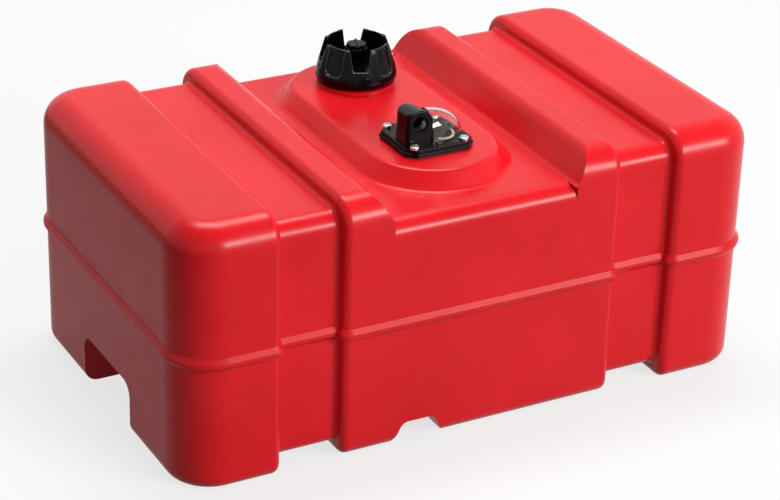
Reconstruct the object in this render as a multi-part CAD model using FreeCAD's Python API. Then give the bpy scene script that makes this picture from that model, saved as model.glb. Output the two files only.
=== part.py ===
import FreeCAD, Part
import math
import os

from FreeCAD import Vector

# Portable outboard fuel tank: a moulded tank with a vented screw cap and a
# withdrawal head that carries the fuel port and a sight gauge.
# Millimetres. +X runs along the tank's length, +Z up, origin under its middle.

# Tank moulding, outside sizes
TANK_LENGTH = 584.0
TANK_WIDTH = 352.0
BLOCK_HEIGHT = 252.5
BLOCK_LENGTH = 93.0
GROOVE_LENGTH = 59.0
GROOVE_DEPTH = 12.0
GROOVE_DROP = 13.0
GROOVE_LIFT = 13.0
RIB_FOOT = 48.0
RIB_TOP = 32.0
PANEL_HEIGHT = 225.5
MIDDLE_LIFT = 2.5
WALL = 5.0

# Tank moulding, rounding
CORNER_RADIUS = 42.0
BLOCK_TOP_RADIUS = 26.0
BLOCK_FOOT_RADIUS = 13.0
GROOVE_TOP_RADIUS = 16.0
GROOVE_FOOT_RADIUS = 10.0
PANEL_EDGE_RADIUS = 16.0
BLOCK_STEP_RADIUS = 7.5
MIDDLE_STEP_RADIUS = 7.5
STEP_INNER_RADIUS = 4.0
RIB_TOP_RADIUS = 12.0
RIB_FOOT_RADIUS = 5.0

# Parting bead round the middle of the tank
BEAD_HEIGHT = 126.0
BEAD_PROUD = 3.5
BEAD_CREST = 1.5
BEAD_SPREAD = 6.0
BEAD_LIP = 0.3

# Under-side channel and hand grips
CHANNEL_X = -63.0
CHANNEL_ROOF = 20.0
CHANNEL_TOP = 24.5
CHANNEL_LEAN = 62.0
CHANNEL_RADIUS = 9.0
GRIP_WIDTH = 108.0
GRIP_HEIGHT = 52.0
GRIP_DEPTH = 44.0
GRIP_LIP = 9.0
GRIP_CORNER_RADIUS = 14.0

# Raised pad on the centre panel
PAD_RISE = 16.0
PAD_FOOT_RADIUS = 73.5
PAD_TOP_RADIUS = 61.0
PAD_FRONT_Y = -67.0
PAD_BACK_Y = 80.0
PAD_EDGE_RADIUS = 6.0
PAD_FOOT_BLEND = 7.0

# Filler neck
FILLER_X = 4.4
FILLER_Y = 87.5
NECK_BOSS_RADIUS = 37.0
NECK_BOSS_RISE = 3.0
NECK_RADIUS = 31.0
NECK_RISE = 13.0
FILLER_BORE_RADIUS = 26.0

# Screw cap
CAP_HEIGHT = 38.3
CAP_RIM_RADIUS = 31.0
CAP_GIRTH_RADIUS = 38.4
CAP_GIRTH_Z = 9.7
CAP_BELLY_RADIUS = 38.9
CAP_BELLY_Z = 5.2
CAP_BEVEL_RADIUS = 37.9
CAP_BEVEL_Z = 3.0
CAP_FOOT_RADIUS = 34.8
CAP_RUN = 0.5
CAP_THREAD_RUN = 0.5
CAP_WALL = 3.2
CAP_FLOOR = 3.0
CAP_DISC_RADIUS = 33.4
CAP_SLOTS = 4
CAP_FIRST_SLOT = 70.0
SLOT_TOP_WIDTH = 20.0
SLOT_FOOT_WIDTH = 14.0
SLOT_FOOT_GAP = 1.5
PANEL_DEPTH = 1.6
PANEL_WIDTH = 18.0
PANEL_FOOT_Z = 12.0
PANEL_CORNER_RADIUS = 4.0
FLOOR_RIB_COUNT = 16
FLOOR_RIB_RISE = 1.0
FLOOR_RIB_WIDTH = 1.0
FLOOR_RIB_INNER_RADIUS = 14.0
FLOOR_RIB_END_GAP = 1.0
CAP_GASKET_THICKNESS = 2.0
CAP_GASKET_RUN = 0.6

# Vent screw in the cap
VENT_KNOB_RADIUS = 10.6
VENT_SKIRT_HEIGHT = 12.6
VENT_SKIRT_ROUND = 0.8
VENT_GRIP_RADIUS = 9.8
VENT_KNOB_HEIGHT = 16.2
VENT_KNOB_ROUND = 1.2
VENT_KNOB_FLUTES = 8
VENT_FLUTE_RADIUS = 1.9
VENT_BAR_WIDTH = 1.8
VENT_BAR_RISE = 1.2
VENT_STEM_RADIUS = 3.0
VENT_STEM_RUN = 0.05
VENT_STEM_SEAT = 7.0
VENT_SEAL_THICKNESS = 1.5
VENT_SEAL_RADIUS = 9.0
VENT_SEAL_BORE_RADIUS = 5.0
VENT_LIFT_ROOM = 1.5
VENT_NUT_THICKNESS = 3.0
VENT_NUT_ACROSS_FLATS = 10.0

# Withdrawal head
HEAD_X = -2.0
HEAD_Y = -64.0
HEAD_LENGTH = 71.0
HEAD_WIDTH = 67.0
HEAD_CHAMFER = 9.5
HEAD_FLANGE = 3.0
HEAD_PLATE_THICKNESS = 6.5
HEAD_STEP = 1.5
HEAD_EDGE_ROUND = 0.9
HEAD_GASKET_THICKNESS = 1.5
HEAD_GASKET_INSET = 1.5
HEAD_OPENING_RADIUS = 27.0
HEAD_SPIGOT_RADIUS = 26.4
HEAD_SPIGOT_DEPTH = 9.0
HEAD_SPIGOT_WALL = 2.4

# Port tower on the head
PORT_OFFSET_X = -18.2
PORT_FACE_OFFSET_Y = -21.6
PORT_RISE = 20.2
TOWER_DEPTH = 29.6
TOWER_FLAT_OFFSET = 12.0
TOWER_FOOT_REACH = 13.6
TOWER_TOP_REACH = 12.2
TOWER_ARCH_RADIUS = 13.0
TOWER_CROWN_RADIUS = 26.0
TOWER_TOP_FALL = 7.0
TOWER_FRONT_CORNER = 4.0
TOWER_BACK_CORNER = 11.0
TOWER_EDGE_ROUND = 1.6
PORT_LIP_DEPTH = 1.5
PORT_BUSH_RADIUS = 9.0
PORT_BORE_RADIUS = 6.85
PORT_BORE_DEPTH = 15.0
PORT_BUSH_FLOOR = 3.0
PORT_WAY_RADIUS = 2.8
PORT_RISER_RADIUS = 3.2
PORT_CHAMFER = 0.8

# Screws and their inserts
SCREW_SHIFT_X = -1.0
SCREW_X = 25.4
SCREW_Y = 26.4
SCREW_RADIUS = 2.4
SCREW_HEAD_RADIUS = 4.3
SCREW_HEAD_HEIGHT = 3.0
SCREW_HEAD_ROUND = 1.4
SCREW_LENGTH = 16.0
SCREW_HOLE_RUN = 0.3
SCREW_SLOT_WIDTH = 1.2
SCREW_SLOT_DEPTH = 1.4
INSERT_RADIUS = 3.9
INSERT_LENGTH = 9.0
INSERT_BOSS_RADIUS = 6.5
INSERT_BOSS_FLOOR = 2.0
THREAD_RUN = 0.05

# Sight lens
LENS_LENGTH = 38.0
LENS_HALF_WIDTH = 17.6
LENS_HEIGHT = 27.5
LENS_WALL = 1.8
LENS_SIDE_RUN = 0.2

# Sight gauge
GAUGE_OFFSET_X = 10.0
GAUGE_OFFSET_Y = -6.0
GAUGE_BUSH_RADIUS = 4.5
GAUGE_BUSH_RISE = 1.6
SPINDLE_RADIUS = 2.0
SPINDLE_RUN = 0.05
STRIP_WIDTH = 8.0
STRIP_THICKNESS = 1.2
STRIP_TURN = 300.0
STRIP_FACETS = 30
STRIP_FOOT_GAP = 2.0
CONE_RADIUS = 10.8
CONE_TIP_RADIUS = 2.2
CONE_HEIGHT = 13.5
CONE_GAP = 0.6
DIAL_INNER_GAP = 0.5
DIAL_WIDTH = 2.2
DIAL_THICKNESS = 1.4
DIAL_ARC = 250.0
POINTER_FIN = 1.6

# Float and its guide
FLOAT_LENGTH = 34.0
FLOAT_WIDTH = 21.0
FLOAT_HEIGHT = 26.0
FLOAT_ROUND = 2.0
FLOAT_WELL_RADIUS = 5.4
FLOAT_LOW_GAP = 0.3
FLOAT_TRAVEL = 165.0
FOLLOWER_THICKNESS = 2.0
FOLLOWER_RADIUS = 7.5
FOLLOWER_SLOT_RUN = 0.45
ROD_SPREAD = 13.0
ROD_RADIUS = 1.5
ROD_RUN = 0.35
ROD_SOCKET = 6.0
ROD_SOCKET_WALL = 1.8
FOOT_PLATE_THICKNESS = 4.0
FOOT_PLATE_LENGTH = 36.0
FOOT_PLATE_WIDTH = 14.0
FOOT_PLATE_GAP = 7.0
PIVOT_RADIUS = 1.4
PIVOT_DEPTH = 2.6
PIVOT_RUN = 0.05

# Pickup
PICKUP_OFFSET_Y = 2.5
PICKUP_RADIUS = 4.0
PICKUP_BORE_RADIUS = 2.8
PICKUP_SOCKET_RISE = 6.0
PICKUP_SOCKET_WALL = 2.5
STRAINER_FLOOR_GAP = 4.0
STRAINER_RADIUS = 6.0
STRAINER_LENGTH = 26.0
STRAINER_WALL = 1.0
STRAINER_COLLAR = 7.0
STRAINER_FLOOR = 1.5
STRAINER_WINDOWS = 6
STRAINER_WINDOW_WIDTH = 3.2
STRAINER_WINDOW_MARGIN = 2.5

OUT = "parts"

# Places that follow from the sizes
HALF_LENGTH = TANK_LENGTH / 2
HALF_WIDTH = TANK_WIDTH / 2
BLOCK_INNER = HALF_LENGTH - BLOCK_LENGTH
MIDDLE_HALF = BLOCK_INNER - GROOVE_LENGTH
PAD_TOP = PANEL_HEIGHT + PAD_RISE
NECK_SEAT = PAD_TOP + NECK_BOSS_RISE
NECK_TOP = NECK_SEAT + NECK_RISE
CAP_BASE = NECK_SEAT + CAP_RUN
CAP_GASKET_BASE = NECK_TOP
CAP_DISC_BASE = CAP_GASKET_BASE + CAP_GASKET_THICKNESS
CAP_DISC_TOP = CAP_DISC_BASE + CAP_FLOOR
CAP_TOP = CAP_BASE + CAP_HEIGHT
HEAD_BASE = PAD_TOP + HEAD_GASKET_THICKNESS
HEAD_TOP = HEAD_BASE + HEAD_PLATE_THICKNESS
PORT_X = HEAD_X + PORT_OFFSET_X
PORT_Z = HEAD_TOP + PORT_RISE
PORT_FACE_Y = HEAD_Y + PORT_FACE_OFFSET_Y
PORT_SEAT_Y = PORT_FACE_Y + PORT_LIP_DEPTH
PORT_END_Y = PORT_SEAT_Y + PORT_BORE_DEPTH + PORT_BUSH_FLOOR
PORT_LIP_RADIUS = PORT_BORE_RADIUS + PORT_CHAMFER
TOWER_BACK_Y = PORT_FACE_Y + TOWER_DEPTH
TOWER_FLAT_X = PORT_X + TOWER_FLAT_OFFSET
PICKUP_X = PORT_X
PICKUP_Y = HEAD_Y + PICKUP_OFFSET_Y
GAUGE_X = HEAD_X + GAUGE_OFFSET_X
GAUGE_Y = HEAD_Y + GAUGE_OFFSET_Y
SPIGOT_FOOT = PAD_TOP - HEAD_SPIGOT_DEPTH
TANK_FLOOR = MIDDLE_LIFT + WALL
FOOT_PLATE_BASE = TANK_FLOOR + FOOT_PLATE_GAP
FOOT_PLATE_TOP = FOOT_PLATE_BASE + FOOT_PLATE_THICKNESS
FLOAT_BASE = FOOT_PLATE_TOP + FLOAT_LOW_GAP
FLOAT_TOP = FLOAT_BASE + FLOAT_HEIGHT
STRAINER_FOOT = TANK_FLOOR + STRAINER_FLOOR_GAP
STRAINER_TOP = STRAINER_FOOT + STRAINER_LENGTH
PICKUP_FOOT = STRAINER_TOP - STRAINER_COLLAR
PICKUP_TOP = HEAD_BASE + PICKUP_SOCKET_RISE
KNOB_BASE = CAP_DISC_TOP + VENT_SEAL_THICKNESS


def box(x0, x1, y0, y1, z0, z1):
    """Box between two corners."""
    return Part.makeBox(x1 - x0, y1 - y0, z1 - z0, Vector(x0, y0, z0))


def cylinder(x, y, z0, z1, radius):
    """Upright cylinder from z0 to z1."""
    return Part.makeCylinder(radius, z1 - z0, Vector(x, y, z0))


def cone(x, y, z0, z1, radius0, radius1):
    """Upright cone from z0 to z1."""
    return Part.makeCone(radius0, radius1, z1 - z0, Vector(x, y, z0))


def tube(x, y, z0, z1, outer, inner):
    """Upright tube from z0 to z1."""
    return cylinder(x, y, z0, z1, outer).cut(cylinder(x, y, z0, z1, inner))


def prism_along_x(points, x0, x1):
    """Polygon of (y, z) points drawn out along X."""
    wire = Part.makePolygon([Vector(x0, y, z) for y, z in points + points[:1]])
    return Part.Face(wire).extrude(Vector(x1 - x0, 0, 0))


def prism_along_y(points, y0, y1):
    """Polygon of (x, z) points drawn out along Y."""
    wire = Part.makePolygon([Vector(x, y0, z) for x, z in points + points[:1]])
    return Part.Face(wire).extrude(Vector(0, y1 - y0, 0))


def prism_up(points, z0, z1):
    """Polygon of (x, y) points drawn up from z0 to z1."""
    wire = Part.makePolygon([Vector(x, y, z0) for x, y in points + points[:1]])
    return Part.Face(wire).extrude(Vector(0, 0, z1 - z0))


def revolve(points, x, y):
    """Polygon of (radius, z) points turned round an upright axis at (x, y)."""
    wire = Part.makePolygon([Vector(x + r, y, z) for r, z in points + points[:1]])
    return Part.Face(wire).revolve(Vector(x, y, 0), Vector(0, 0, 1), 360)


def rounded(shape, radius, chosen):
    """Fillet the edges for which chosen(middle point, direction) is true."""
    edges = []
    for edge in shape.Edges:
        middle = edge.valueAt((edge.FirstParameter + edge.LastParameter) / 2)
        along = edge.tangentAt((edge.FirstParameter + edge.LastParameter) / 2)
        if chosen(middle, along):
            edges.append(edge)
    return shape.makeFillet(radius, edges)


def near(value, target):
    """True when two lengths are the same to a tenth of a micrometre."""
    return abs(value - target) < 1e-4


def stadium(x, y0, y1, radius, z):
    """Closed wire of a slot shape whose long axis runs along Y."""
    front = Part.Arc(Vector(x - radius, y0, z), Vector(x, y0 - radius, z), Vector(x + radius, y0, z))
    right = Part.LineSegment(Vector(x + radius, y0, z), Vector(x + radius, y1, z))
    back = Part.Arc(Vector(x + radius, y1, z), Vector(x, y1 + radius, z), Vector(x - radius, y1, z))
    left = Part.LineSegment(Vector(x - radius, y1, z), Vector(x - radius, y0, z))
    return Part.Wire([curve.toShape() for curve in (front, right, back, left)])


def stadium_prism(x, y0, y1, radius, z0, z1):
    """Slot shape drawn up from z0 to z1."""
    return Part.Face(stadium(x, y0, y1, radius, z0)).extrude(Vector(0, 0, z1 - z0))


def body_section(half_width, bottom, top, top_radius, foot_radius, x0, x1):
    """Rounded box section of the tank, drawn along X from x0 to x1."""
    block = box(x0, x1, -half_width, half_width, bottom, top)
    block = rounded(block, top_radius, lambda p, t: near(abs(t.x), 1) and p.z > top - 1)
    return rounded(block, foot_radius, lambda p, t: near(abs(t.x), 1) and p.z < bottom + 1)


def end_block(side, inset):
    """End block on one side; inset moves every face inwards, for the cavity."""
    outer = HALF_LENGTH - inset
    inner = BLOCK_INNER + inset
    x0 = min(side * outer, side * inner)
    x1 = max(side * outer, side * inner)
    half = HALF_WIDTH - inset
    top = BLOCK_HEIGHT - inset
    block = box(x0, x1, -half, half, inset, top)
    far = side * outer
    wall = side * inner
    block = rounded(block, CORNER_RADIUS - inset, lambda p, t: near(abs(t.z), 1) and near(p.x, far))
    block = rounded(
        block, BLOCK_TOP_RADIUS - inset, lambda p, t: near(p.z, top) and not near(p.x, wall)
    )
    block = rounded(
        block, BLOCK_FOOT_RADIUS - inset, lambda p, t: near(p.z, inset) and not near(p.x, wall)
    )
    if inset > 0:
        return block
    return rounded(block, BLOCK_STEP_RADIUS, lambda p, t: near(p.x, wall))


def middle_section(inset):
    """Centre panel with a rib on each side of it."""
    half = HALF_WIDTH - inset
    reach = MIDDLE_HALF - inset
    bottom = MIDDLE_LIFT + inset
    foot_radius = BLOCK_FOOT_RADIUS - inset
    panel = body_section(
        half, bottom, PANEL_HEIGHT - inset, PANEL_EDGE_RADIUS - inset, foot_radius, -reach, reach
    )
    tall = body_section(
        half, bottom, BLOCK_HEIGHT - inset, BLOCK_TOP_RADIUS - inset, foot_radius, -reach, reach
    )
    for side in (-1, 1):
        panel = panel.fuse(tall.common(rib_profile(side, inset)))
    panel = panel.removeSplitter()
    if inset > 0:
        return panel
    return rounded(panel, MIDDLE_STEP_RADIUS, lambda p, t: near(abs(p.x), MIDDLE_HALF))


def rib_profile(side, inset):
    """Cross-wise prism that leaves one rib standing, its inner wall sloped."""
    outer = side * (MIDDLE_HALF + 1)
    foot = side * (MIDDLE_HALF - RIB_FOOT + inset)
    top = side * (MIDDLE_HALF - RIB_TOP + inset)
    edge_z = PANEL_HEIGHT - PANEL_EDGE_RADIUS
    lip = BLOCK_HEIGHT - inset
    prism = rib_block(outer, top, foot, edge_z, lip)
    if inset > 0:
        return prism
    prism = rounded(prism, RIB_TOP_RADIUS, lambda p, t: near(p.x, top) and near(p.z, lip))
    return prism.fuse(rib_foot_blend(side))


def rib_block(outer, top, foot, edge_z, lip):
    """Prism of a rib whose inner wall leans from its foot to its top."""
    points = [(outer, edge_z), (outer, lip), (top, lip), (foot, panel_level(lip)), (foot, edge_z)]
    return prism_along_y(points, -HALF_WIDTH - 1, HALF_WIDTH + 1)


def panel_level(lip):
    """Height of the centre panel that goes with a rib's top at height lip."""
    return lip - BLOCK_HEIGHT + PANEL_HEIGHT


def rib_foot_blend(side):
    """Concave blend between the panel and the rib's sloped inner wall."""
    lean = math.atan2(BLOCK_HEIGHT - PANEL_HEIGHT, RIB_FOOT - RIB_TOP)
    reach = RIB_FOOT_RADIUS * math.tan(lean / 2)
    foot = MIDDLE_HALF - RIB_FOOT
    up_x = foot + reach * math.cos(lean)
    up_z = PANEL_HEIGHT + reach * math.sin(lean)
    centre_x = foot - reach
    centre_z = PANEL_HEIGHT + RIB_FOOT_RADIUS
    middle_x = centre_x + RIB_FOOT_RADIUS * math.sin(lean / 2)
    middle_z = centre_z - RIB_FOOT_RADIUS * math.cos(lean / 2)
    y0 = -HALF_WIDTH - 1
    start = Vector(side * centre_x, y0, PANEL_HEIGHT)
    end = Vector(side * up_x, y0, up_z)
    corner = Vector(side * (foot + 1), y0, PANEL_HEIGHT - 1)
    low = Vector(side * centre_x, y0, PANEL_HEIGHT - 1)
    arc = Part.Arc(start, Vector(side * middle_x, y0, middle_z), end).toShape()
    sides = [arc, Part.makeLine(end, corner), Part.makeLine(corner, low), Part.makeLine(low, start)]
    return Part.Face(Part.Wire(sides)).extrude(Vector(0, -2 * y0, 0))


def groove_core(side, inset):
    """Body under one strap groove, which also runs into the rib and the end block."""
    inner = side * (MIDDLE_HALF - RIB_TOP / 2)
    outer = side * (HALF_LENGTH - CORNER_RADIUS)
    return body_section(
        HALF_WIDTH - GROOVE_DEPTH - inset,
        GROOVE_LIFT + inset,
        BLOCK_HEIGHT - GROOVE_DROP - inset,
        GROOVE_TOP_RADIUS - inset,
        GROOVE_FOOT_RADIUS - inset,
        min(inner, outer),
        max(inner, outer),
    )


def pad(inset):
    """Raised pad whose sides lean in towards its top."""
    foot = stadium(0, PAD_FRONT_Y, PAD_BACK_Y, PAD_FOOT_RADIUS - inset, PANEL_HEIGHT - inset)
    top = stadium(0, PAD_FRONT_Y, PAD_BACK_Y, PAD_TOP_RADIUS - inset, PAD_TOP - inset)
    solid = Part.makeLoft([foot, top], True, True)
    if inset > 0:
        return solid
    return rounded(solid, PAD_EDGE_RADIUS, lambda p, t: near(p.z, PAD_TOP))


def under_channel():
    """Channel across the under-side, left of the middle, with S-curved sides."""
    lean = math.radians(CHANNEL_LEAN)
    over = CHANNEL_RADIUS * math.sin(lean)
    rise = CHANNEL_RADIUS * (1 - math.cos(lean))
    part_over = CHANNEL_RADIUS * math.sin(lean / 2)
    part_rise = CHANNEL_RADIUS * (1 - math.cos(lean / 2))
    half_roof = CHANNEL_ROOF / 2
    half_mouth = channel_mouth()
    low = MIDDLE_LIFT
    profile = [
        (half_mouth, low),
        (half_mouth - part_over, low + part_rise),
        (half_mouth - over, low + rise),
        (half_roof + over, CHANNEL_TOP - rise),
        (half_roof + part_over, CHANNEL_TOP - part_rise),
        (half_roof, CHANNEL_TOP),
    ]
    right = [channel_point(x, z) for x, z in profile]
    left = [channel_point(-x, z) for x, z in profile[::-1]]
    far_right = channel_point(half_mouth, low - 2)
    far_left = channel_point(-half_mouth, low - 2)
    sides = [
        Part.Arc(right[0], right[1], right[2]).toShape(),
        Part.makeLine(right[2], right[3]),
        Part.Arc(right[3], right[4], right[5]).toShape(),
        Part.makeLine(right[5], left[0]),
        Part.Arc(left[0], left[1], left[2]).toShape(),
        Part.makeLine(left[2], left[3]),
        Part.Arc(left[3], left[4], left[5]).toShape(),
        Part.makeLine(left[5], far_left),
        Part.makeLine(far_left, far_right),
        Part.makeLine(far_right, right[0]),
    ]
    return Part.Face(Part.Wire(sides)).extrude(Vector(0, TANK_WIDTH + 2, 0))


def channel_point(x, z):
    """Point of the channel's profile, in front of the tank."""
    return Vector(CHANNEL_X + x, -HALF_WIDTH - 1, z)


def channel_mouth():
    """Half of the channel's width where it meets the under-side."""
    lean = math.radians(CHANNEL_LEAN)
    curved = CHANNEL_RADIUS * (1 - math.cos(lean))
    straight = CHANNEL_TOP - MIDDLE_LIFT - 2 * curved
    return CHANNEL_ROOF / 2 + 2 * CHANNEL_RADIUS * math.sin(lean) + straight / math.tan(lean)


def channel_cover():
    """What the channel and its wall take from the tank's hollow."""
    mouth = channel_mouth()
    roof = CHANNEL_ROOF / 2 + WALL
    top = CHANNEL_TOP + WALL
    points = [
        (CHANNEL_X - mouth - WALL, -1),
        (CHANNEL_X + mouth + WALL, -1),
        (CHANNEL_X + mouth, MIDDLE_LIFT + WALL),
        (CHANNEL_X + roof, top),
        (CHANNEL_X - roof, top),
        (CHANNEL_X - mouth, MIDDLE_LIFT + WALL),
    ]
    return prism_along_y(points, -HALF_WIDTH - 1, HALF_WIDTH + 1)


def hand_grip(side, grow):
    """Wedge cut from under an end block, for the fingers of one hand."""
    lip = HALF_LENGTH - GRIP_LIP - grow
    deep = HALF_LENGTH - GRIP_DEPTH - grow
    roof = GRIP_HEIGHT + grow
    half = GRIP_WIDTH / 2 + grow
    out = HALF_LENGTH + BEAD_PROUD + 1
    points = [(side * out, -1), (side * out, roof), (side * lip, roof), (side * deep, -1)]
    wedge = prism_along_y(points, -half, half)
    edge = GRIP_CORNER_RADIUS + grow
    return rounded(wedge, edge, lambda p, t: near(p.z, roof) and near(abs(p.y), half))


def parting_bead(body):
    """Raised bead that follows the body's outline at the mould's parting line."""
    outline = Part.Face(body.slice(Vector(0, 0, 1), BEAD_HEIGHT)[0])
    layers = []
    steps = [
        (-BEAD_SPREAD, BEAD_LIP),
        (-BEAD_CREST, BEAD_PROUD),
        (BEAD_CREST, BEAD_PROUD),
        (BEAD_SPREAD, BEAD_LIP),
    ]
    for rise, proud in steps:
        wire = outline.makeOffset2D(proud).OuterWire
        wire.translate(Vector(0, 0, rise))
        layers.append(wire)
    return Part.makeLoft(layers, True, True)


def tank_body():
    """Outside of the tank without its openings."""
    body = middle_section(0)
    body = body.fuse([end_block(-1, 0), end_block(1, 0), groove_core(-1, 0), groove_core(1, 0)])
    body = body.removeSplitter()
    body = rounded(body, STEP_INNER_RADIUS, is_groove_foot)
    body = body.fuse(parting_bead(body))
    body = body.fuse(pad(0))
    body = rounded(body, PAD_FOOT_BLEND, is_pad_foot)
    body = body.cut(under_channel())
    for side in (-1, 1):
        body = body.cut(hand_grip(side, 0))
    return body.removeSplitter()


def is_groove_foot(point, along):
    """True on the inner corner between a groove's floor and its wall."""
    on_wall = near(abs(point.x), BLOCK_INNER) or near(abs(point.x), MIDDLE_HALF)
    low = near(point.z, GROOVE_LIFT)
    high = near(point.z, BLOCK_HEIGHT - GROOVE_DROP)
    side = near(abs(point.y), HALF_WIDTH - GROOVE_DEPTH)
    floor_half = HALF_WIDTH - GROOVE_DEPTH
    low_end = GROOVE_LIFT + GROOVE_FOOT_RADIUS
    foot_corner = abs(point.y) > floor_half - GROOVE_FOOT_RADIUS and point.z < low_end
    top_z = BLOCK_HEIGHT - GROOVE_DROP
    top_corner = abs(point.y) > floor_half - GROOVE_TOP_RADIUS and point.z > top_z - GROOVE_TOP_RADIUS
    inside = abs(point.y) < floor_half + 1 and GROOVE_LIFT - 1 < point.z < top_z + 1
    return on_wall and inside and (low or high or side or foot_corner or top_corner)


def is_pad_foot(point, along):
    """True on the line where the pad stands on the centre panel."""
    ahead = max(abs(point.y - (PAD_FRONT_Y + PAD_BACK_Y) / 2) - (PAD_BACK_Y - PAD_FRONT_Y) / 2, 0)
    return near(point.z, PANEL_HEIGHT) and near(math.hypot(point.x, ahead), PAD_FOOT_RADIUS)


def tank_cavity():
    """Hollow of the tank."""
    hollow = middle_section(WALL)
    for side in (-1, 1):
        hollow = hollow.fuse([end_block(side, WALL), groove_core(side, WALL)])
    hollow = hollow.fuse(pad(WALL))
    hollow = hollow.cut(channel_cover())
    for side in (-1, 1):
        hollow = hollow.cut(hand_grip(side, WALL))
    for x, y in screw_places():
        foot = insert_foot() - INSERT_BOSS_FLOOR
        hollow = hollow.cut(cylinder(x, y, foot, PAD_TOP, INSERT_BOSS_RADIUS))
    return hollow


def insert_foot():
    """Lower end of the threaded inserts."""
    return PAD_TOP - INSERT_LENGTH


def screw_places():
    """Centres of the four screws that hold the head."""
    middle = HEAD_X + SCREW_SHIFT_X
    return [(middle + sx * SCREW_X, HEAD_Y + sy * SCREW_Y) for sx in (-1, 1) for sy in (-1, 1)]


def tank_shell():
    """The moulded tank with its filler bore, its head opening and insert pockets."""
    shell = tank_body().cut(tank_cavity())
    shell = shell.cut(cylinder(FILLER_X, FILLER_Y, PAD_TOP - 3 * WALL, PAD_TOP + 1, FILLER_BORE_RADIUS))
    opening = cylinder(HEAD_X, HEAD_Y, PAD_TOP - 3 * WALL, PAD_TOP + 1, HEAD_OPENING_RADIUS)
    shell = shell.cut(opening)
    for x, y in screw_places():
        shell = shell.cut(cylinder(x, y, insert_foot(), PAD_TOP + 1, INSERT_RADIUS))
    return shell.removeSplitter()


def filler_neck():
    """Neck ring on its boss, round the tank's filler bore."""
    neck = cylinder(FILLER_X, FILLER_Y, PAD_TOP, NECK_SEAT, NECK_BOSS_RADIUS)
    neck = neck.fuse(cylinder(FILLER_X, FILLER_Y, PAD_TOP, NECK_TOP, NECK_RADIUS))
    return neck.cut(cylinder(FILLER_X, FILLER_Y, PAD_TOP - 1, NECK_TOP + 1, FILLER_BORE_RADIUS))


def cap_crown():
    """Ring of the screw cap: threaded skirt below, tapered crown with four slots above."""
    foot = CAP_BASE
    thread_radius = NECK_RADIUS + CAP_THREAD_RUN
    points = [
        (thread_radius, foot),
        (CAP_FOOT_RADIUS, foot),
        (CAP_BEVEL_RADIUS, foot + CAP_BEVEL_Z),
        (CAP_BELLY_RADIUS, foot + CAP_BELLY_Z),
        (CAP_GIRTH_RADIUS, foot + CAP_GIRTH_Z),
        (CAP_RIM_RADIUS, CAP_TOP),
        (CAP_RIM_RADIUS - CAP_WALL, CAP_TOP),
        (CAP_DISC_RADIUS, CAP_DISC_TOP),
        (CAP_DISC_RADIUS, CAP_DISC_BASE),
        (thread_radius, CAP_DISC_BASE),
    ]
    crown = revolve(points, FILLER_X, FILLER_Y)
    for k in range(CAP_SLOTS):
        angle = CAP_FIRST_SLOT + k * 360 / CAP_SLOTS
        crown = crown.cut(turned(cap_slot(), angle))
        crown = crown.cut(turned(finger_panel(), angle + 180 / CAP_SLOTS))
    return crown


def cap_disc():
    """Floor of the cap, with radial ribs and the vent stem's hole."""
    disc = cylinder(FILLER_X, FILLER_Y, CAP_DISC_BASE, CAP_DISC_TOP, CAP_DISC_RADIUS)
    disc = disc.fuse(floor_ribs())
    bore = VENT_STEM_RADIUS + VENT_STEM_RUN
    return disc.cut(cylinder(FILLER_X, FILLER_Y, CAP_DISC_BASE - 1, CAP_TOP, bore)).removeSplitter()


def crown_lean(z):
    """How much wider the crown's outside is at height z than at its rim."""
    share = (CAP_TOP - z) / (CAP_HEIGHT - CAP_GIRTH_Z)
    return share * (CAP_GIRTH_RADIUS - CAP_RIM_RADIUS)


def turned(shape, angle):
    """Copy of a piece of the cap turned about the cap's axis."""
    copy = shape.copy()
    copy.rotate(Vector(FILLER_X, FILLER_Y, 0), Vector(0, 0, 1), angle)
    return copy


def cap_slot():
    """Slot through the crown's wall on its +X side, narrower at its foot."""
    foot = CAP_DISC_TOP + SLOT_FOOT_GAP
    points = [
        (FILLER_Y - SLOT_FOOT_WIDTH / 2, foot),
        (FILLER_Y + SLOT_FOOT_WIDTH / 2, foot),
        (FILLER_Y + SLOT_TOP_WIDTH / 2, CAP_TOP + 1),
        (FILLER_Y - SLOT_TOP_WIDTH / 2, CAP_TOP + 1),
    ]
    return prism_along_x(points, FILLER_X + CAP_RIM_RADIUS / 2, FILLER_X + CAP_GIRTH_RADIUS + 1)


def finger_panel():
    """Shallow panel cut into the crown's +X side, its lower corners rounded."""
    half = PANEL_WIDTH / 2
    foot = CAP_BASE + PANEL_FOOT_Z
    x0 = FILLER_X + CAP_RIM_RADIUS / 2
    slab = box(x0, FILLER_X + CAP_GIRTH_RADIUS + 2, FILLER_Y - half, FILLER_Y + half, foot, CAP_TOP + 1)
    slab = rounded(slab, PANEL_CORNER_RADIUS, lambda p, t: near(abs(t.x), 1) and near(p.z, foot))
    core = cone(
        FILLER_X,
        FILLER_Y,
        CAP_BASE,
        CAP_TOP + 2,
        CAP_RIM_RADIUS + crown_lean(CAP_BASE) - PANEL_DEPTH,
        CAP_RIM_RADIUS + crown_lean(CAP_TOP + 2) - PANEL_DEPTH,
    )
    return slab.cut(core)


def floor_ribs():
    """Radial ribs on the floor inside the crown."""
    ribs = []
    outer = CAP_DISC_RADIUS - FLOOR_RIB_END_GAP
    half = FLOOR_RIB_WIDTH / 2
    for k in range(FLOOR_RIB_COUNT):
        rib = box(
            FILLER_X + FLOOR_RIB_INNER_RADIUS,
            FILLER_X + outer,
            FILLER_Y - half,
            FILLER_Y + half,
            CAP_DISC_TOP - 1,
            CAP_DISC_TOP + FLOOR_RIB_RISE,
        )
        ribs.append(turned(rib, (k + 0.5) * 360 / FLOOR_RIB_COUNT))
    return ribs[0].fuse(ribs[1:])


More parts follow.
